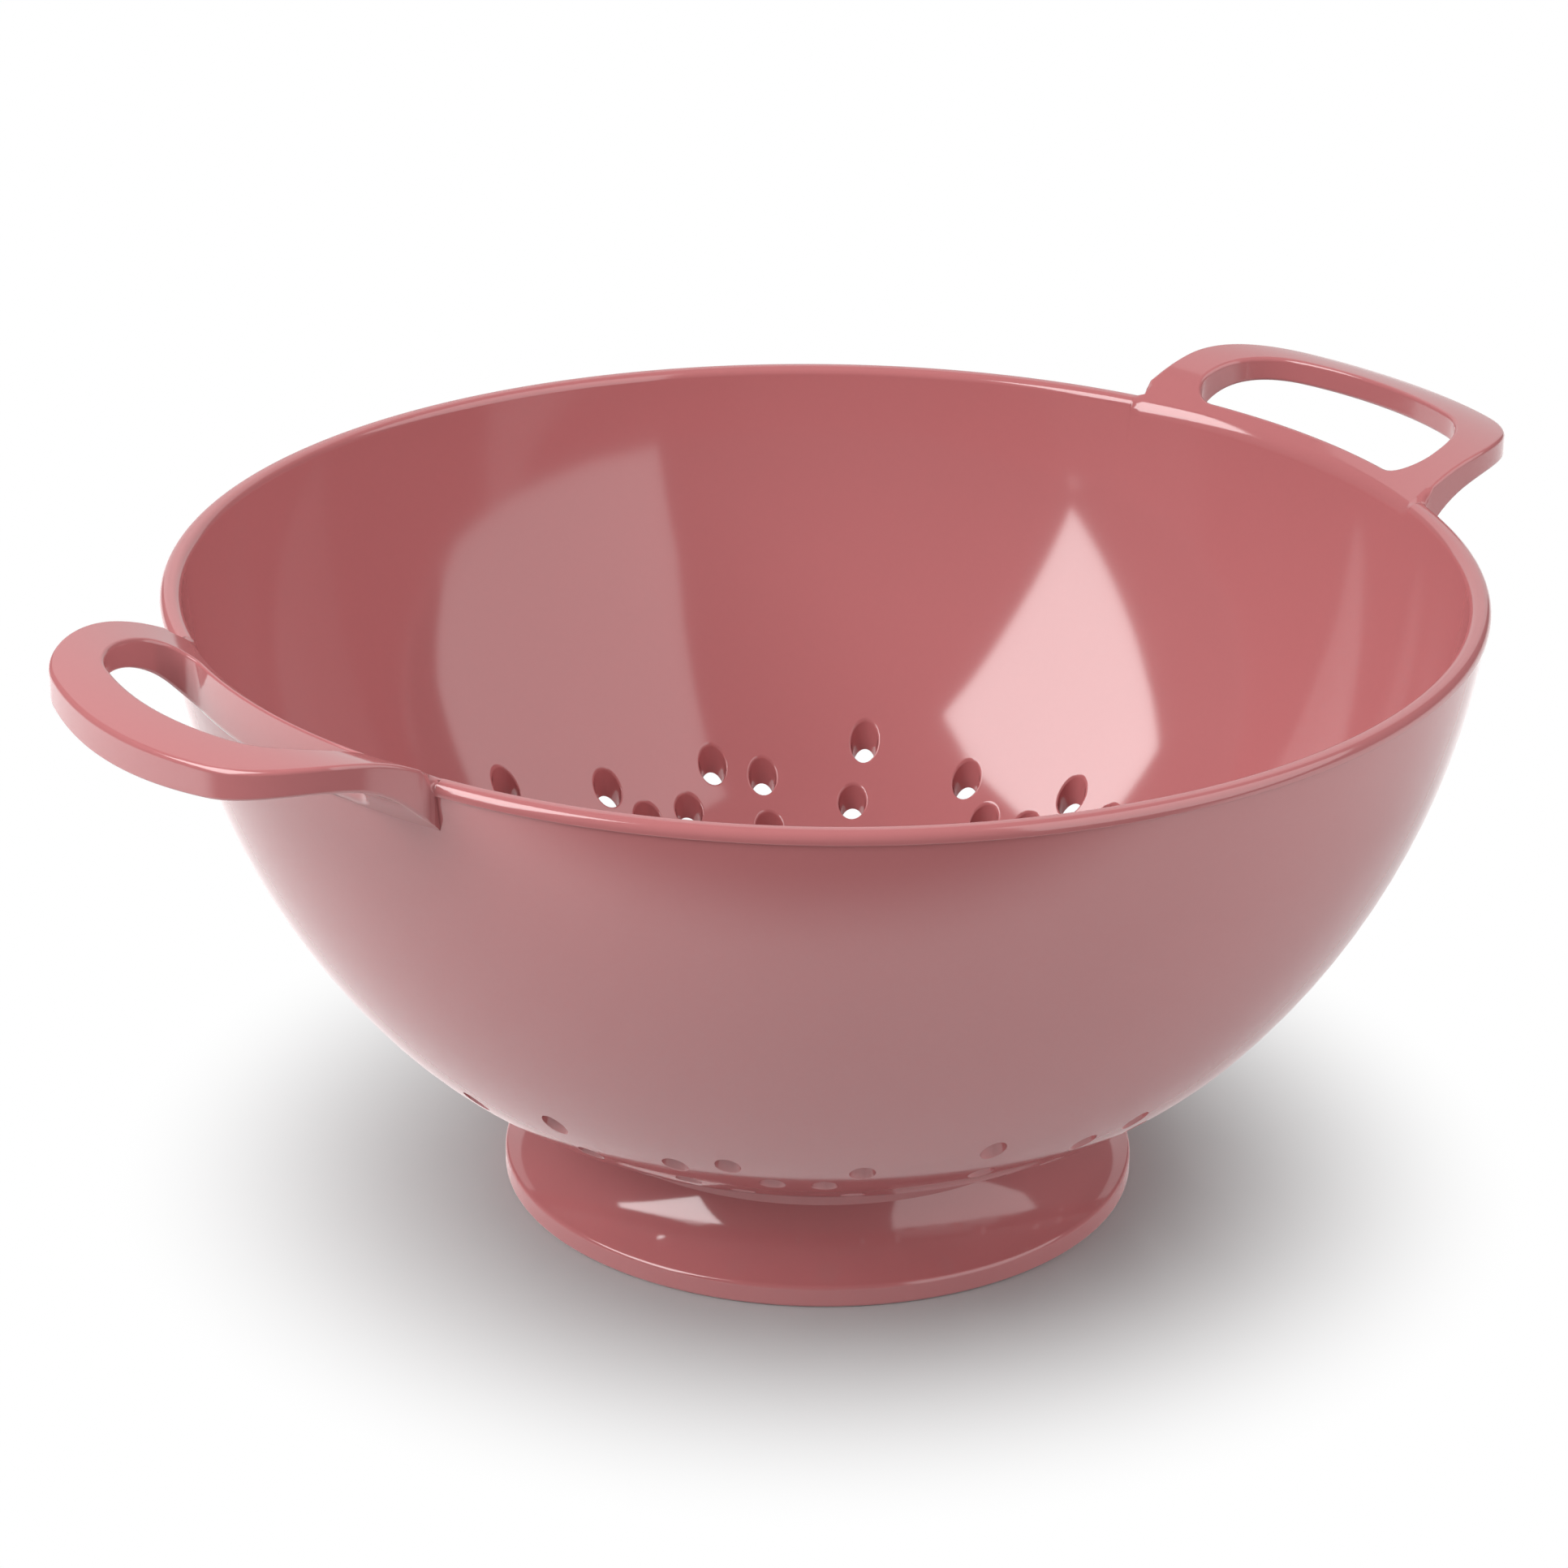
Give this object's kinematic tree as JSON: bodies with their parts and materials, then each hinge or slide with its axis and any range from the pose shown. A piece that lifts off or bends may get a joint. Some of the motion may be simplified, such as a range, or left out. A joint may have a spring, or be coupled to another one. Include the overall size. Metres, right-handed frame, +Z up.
{
  "type": "colander",
  "caption": "Round melamine colander: a perforated bowl on a flared foot ring, with an arched loop handle on each side of the rim.",
  "frame": {"origin": "centre of the foot's tread, on the surface that the colander stands on", "axes": "+Z up along the bowl's axis; +X along the line of the two handles, towards handle_right"},
  "size_m": [0.3, 0.24, 0.127],
  "materials": {
    "bowl_melamine": "gloss",
    "foot_melamine": "gloss",
    "handle_melamine": "gloss"
  },
  "bodies": {
    "root": {"bowl": "bowl_melamine", "foot": "foot_melamine", "handle_right": "handle_melamine", "handle_left": "handle_melamine"}
  },
  "joints": []
}
